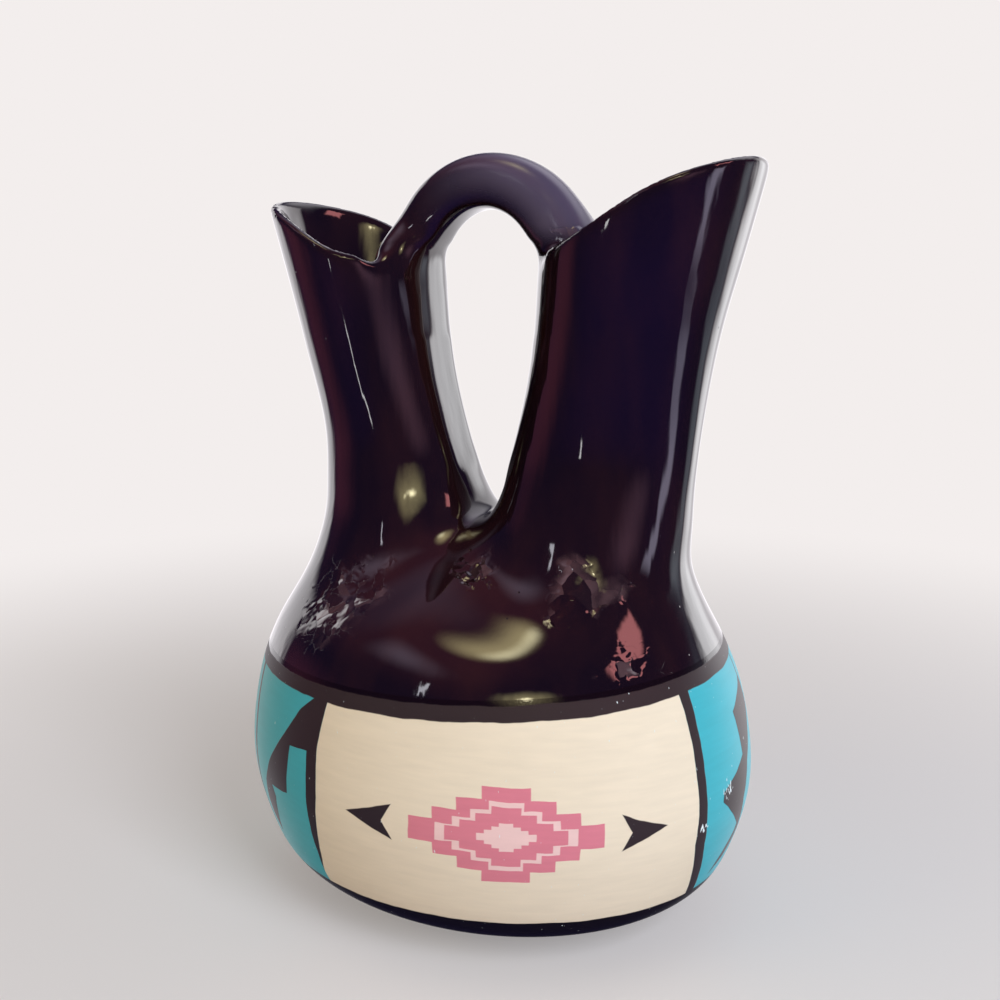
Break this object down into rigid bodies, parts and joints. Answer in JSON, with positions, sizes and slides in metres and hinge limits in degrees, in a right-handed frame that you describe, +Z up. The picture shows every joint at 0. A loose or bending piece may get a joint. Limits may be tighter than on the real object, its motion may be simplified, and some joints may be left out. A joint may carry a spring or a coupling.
{
  "type": "wedding vase",
  "caption": "Hand-built wedding vase: oval bowl with a painted band, shoulder parting into twin spouts joined by a stirrup handle, on a low foot ring.",
  "frame": {"origin": "centre of the foot on the table, z = 0 is what the vase stands on", "axes": "+Z up, X runs through both spouts with the taller spout at +X, -Y is the side that the picture shows"},
  "size_m": [0.1639, 0.1344, 0.2279],
  "materials": {
    "foot_slip": "matte",
    "painted_band": "matte",
    "black_glaze": "high gloss"
  },
  "bodies": {
    "root": {"foot_ring": "foot_slip", "bowl": "painted_band", "shoulder": "black_glaze", "left_spout": "black_glaze", "right_spout": "black_glaze", "stirrup_handle": "black_glaze"}
  },
  "joints": []
}
